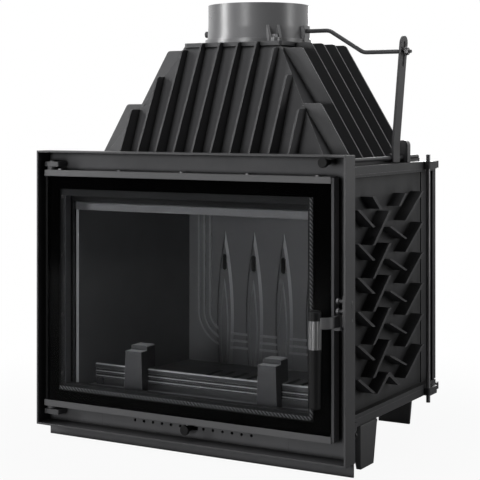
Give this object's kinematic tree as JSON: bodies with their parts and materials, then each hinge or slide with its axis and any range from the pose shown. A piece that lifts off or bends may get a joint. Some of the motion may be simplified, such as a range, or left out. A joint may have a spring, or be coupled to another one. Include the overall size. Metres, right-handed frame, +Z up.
{
  "type": "fireplace insert",
  "caption": "Built-in wood fire insert: sheet surround, hinged glazed door with turning handle, ribbed cast body and dome, flue collar with a rod-worked damper, sliding air control.",
  "frame": {"origin": "centre of the footprint at floor height", "axes": "+Z up, the glazed door faces -Y, +X to the viewer's right"},
  "size_m": [0.656, 0.5, 0.834],
  "materials": {
    "painted_sheet": "matt heat paint",
    "cast_body": "grained matt heat paint",
    "zinc_steel": "dull zinc",
    "pane": "clear ceramic glass",
    "seal_rope": "twisted graphite rope",
    "ribbed_sleeve": "fluted satin",
    "black_grip": "fine matt"
  },
  "bodies": {
    "casing": {"surround_frame": "painted_sheet", "front_plate": "painted_sheet", "air_panel": "painted_sheet", "slider_guides": "painted_sheet", "latch_catch": "painted_sheet", "leg_front_left": "painted_sheet", "leg_front_right": "painted_sheet", "leg_rear_left": "painted_sheet", "leg_rear_right": "painted_sheet", "ash_box": "painted_sheet", "airwash_lintel": "painted_sheet", "rod_bracket": "painted_sheet", "top_plate": "cast_body", "base_plate": "cast_body", "left_side_wall": "cast_body", "right_side_wall": "cast_body", "rear_wall": "cast_body", "smoke_dome": "cast_body", "dome_fins": "cast_body", "flue_collar": "cast_body", "hearth_plate": "cast_body", "grate": "cast_body", "back_lining": "cast_body", "left_lining": "cast_body", "right_lining": "cast_body", "smoke_baffle": "cast_body", "log_fence": "cast_body", "log_stops": "cast_body", "tie_rods": "zinc_steel", "collar_bolts": "zinc_steel", "leg_bolts": "zinc_steel", "hinge_brackets": "zinc_steel", "hinge_pins": "zinc_steel", "latch_roller": "zinc_steel", "catch_screws": "zinc_steel", "ash_pan": "zinc_steel"},
    "door_leaf": {"door_frame": "painted_sheet", "door_top_rail": "painted_sheet", "door_bottom_rail": "painted_sheet", "handle_bracket": "painted_sheet", "door_glass": "pane", "glass_seal": "seal_rope", "door_seal": "seal_rope", "rail_screws": "zinc_steel", "frame_screws": "zinc_steel", "hinge_knuckles": "zinc_steel"},
    "door_handle": {"handle_arm": "painted_sheet", "handle_sleeve": "ribbed_sleeve", "handle_cap": "black_grip", "handle_grip": "black_grip"},
    "damper_slide": {"control_rod": "painted_sheet", "damper_lever": "painted_sheet", "control_knob": "black_grip"},
    "damper_crank": {"damper_shaft": "painted_sheet", "damper_blade": "painted_sheet", "crank_nut": "zinc_steel"},
    "air_control": {"air_slider": "painted_sheet", "air_knob": "black_grip"}
  },
  "joints": [
    {"name": "door_hinge", "type": "hinge", "parent": "casing", "child": "door_leaf", "pos_m": [-0.306, -0.194, 0.286], "axis": [0, 0, -1], "range_deg": [0, 100]},
    {"name": "handle_turn", "type": "hinge", "parent": "door_leaf", "child": "door_handle", "pos_m": [0.308, -0.194, 0.269], "axis": [0, 0, 1], "range_deg": [0, 25]},
    {"name": "damper_pull", "type": "slide", "parent": "casing", "child": "damper_slide", "axis": [0, 1, 0], "range_m": [-0.029, 0.0174]},
    {"name": "damper_turn", "type": "hinge", "parent": "casing", "child": "damper_crank", "pos_m": [0, 0.074, 0.781], "axis": [1, 0, 0], "range_deg": [-40.5, 24.5]},
    {"name": "air_slide", "type": "slide", "parent": "casing", "child": "air_control", "axis": [1, 0, 0], "range_m": [-0.01, 0.01]}
  ],
  "couplings": [
    {"joint": "damper_turn", "follows": "damper_pull", "rad_per_m": 24.07}
  ]
}
